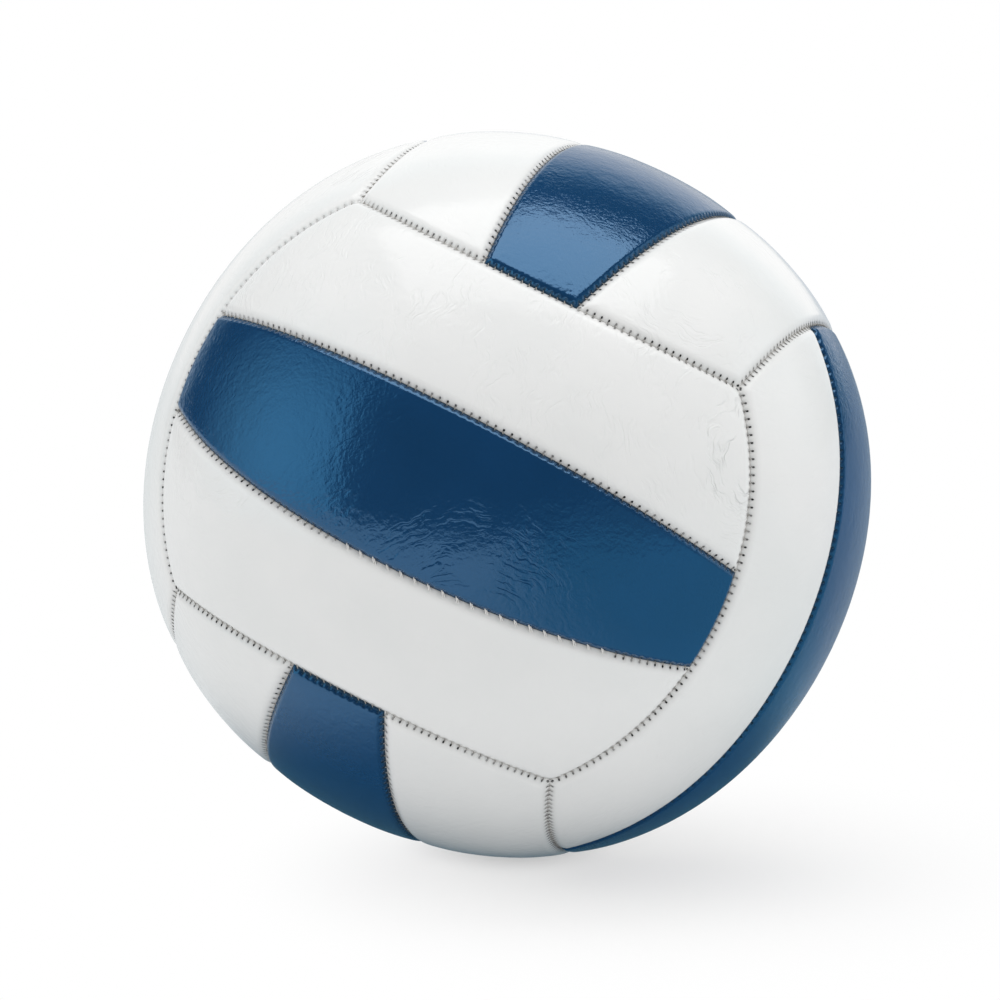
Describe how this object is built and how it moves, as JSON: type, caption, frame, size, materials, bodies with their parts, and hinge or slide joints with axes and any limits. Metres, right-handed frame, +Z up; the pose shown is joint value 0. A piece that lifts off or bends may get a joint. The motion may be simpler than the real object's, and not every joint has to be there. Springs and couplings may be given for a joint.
{
  "type": "volleyball",
  "caption": "Indoor volleyball: white and blue padded PVC strips sewn in six crossed faces over an air-tight rubber bladder with a needle valve.",
  "frame": {"origin": "the ball's centre", "axes": "+Z up as the ball lies in the picture, +Y away from the viewer, +X to the viewer's right"},
  "size_m": [0.21, 0.21, 0.21],
  "materials": {
    "white_pvc": "glossy grained PVC sheet",
    "blue_pvc": "glossy grained PVC sheet",
    "padding_foam": "cloth-backed foam",
    "seam_thread": "twisted polyester",
    "bladder_rubber": "matt butyl rubber",
    "valve_rubber": "matt moulded rubber"
  },
  "bodies": {
    "root": {"back_left_edge_thread": "seam_thread", "back_lower_padding": "padding_foam", "back_lower_panel": "white_pvc", "back_middle_padding": "padding_foam", "back_middle_panel": "blue_pvc", "back_right_edge_thread": "seam_thread", "back_strip_threads": "seam_thread", "back_upper_padding": "padding_foam", "back_upper_panel": "white_pvc", "bladder": "bladder_rubber", "bottom_back_edge_thread": "seam_thread", "bottom_front_edge_thread": "seam_thread", "bottom_left_padding": "padding_foam", "bottom_left_panel": "white_pvc", "bottom_middle_padding": "padding_foam", "bottom_middle_panel": "blue_pvc", "bottom_right_padding": "padding_foam", "bottom_right_panel": "white_pvc", "bottom_strip_threads": "seam_thread", "front_left_edge_thread": "seam_thread", "front_lower_padding": "padding_foam", "front_lower_panel": "white_pvc", "front_middle_padding": "padding_foam", "front_middle_panel": "blue_pvc", "front_right_edge_thread": "seam_thread", "front_strip_threads": "seam_thread", "front_upper_padding": "padding_foam", "front_upper_panel": "white_pvc", "left_back_padding": "padding_foam", "left_back_panel": "white_pvc", "left_bottom_edge_thread": "seam_thread", "left_front_padding": "padding_foam", "left_front_panel": "white_pvc", "left_middle_padding": "padding_foam", "left_middle_panel": "blue_pvc", "left_strip_threads": "seam_thread", "left_top_edge_thread": "seam_thread", "right_back_padding": "padding_foam", "right_back_panel": "white_pvc", "right_bottom_edge_thread": "seam_thread", "right_front_padding": "padding_foam", "right_front_panel": "white_pvc", "right_middle_padding": "padding_foam", "right_middle_panel": "blue_pvc", "right_strip_threads": "seam_thread", "right_top_edge_thread": "seam_thread", "top_back_edge_thread": "seam_thread", "top_front_edge_thread": "seam_thread", "top_left_padding": "padding_foam", "top_left_panel": "white_pvc", "top_middle_padding": "padding_foam", "top_middle_panel": "blue_pvc", "top_right_padding": "padding_foam", "top_right_panel": "white_pvc", "top_strip_threads": "seam_thread", "valve_plug": "valve_rubber", "valve_sleeve": "valve_rubber"}
  },
  "joints": []
}
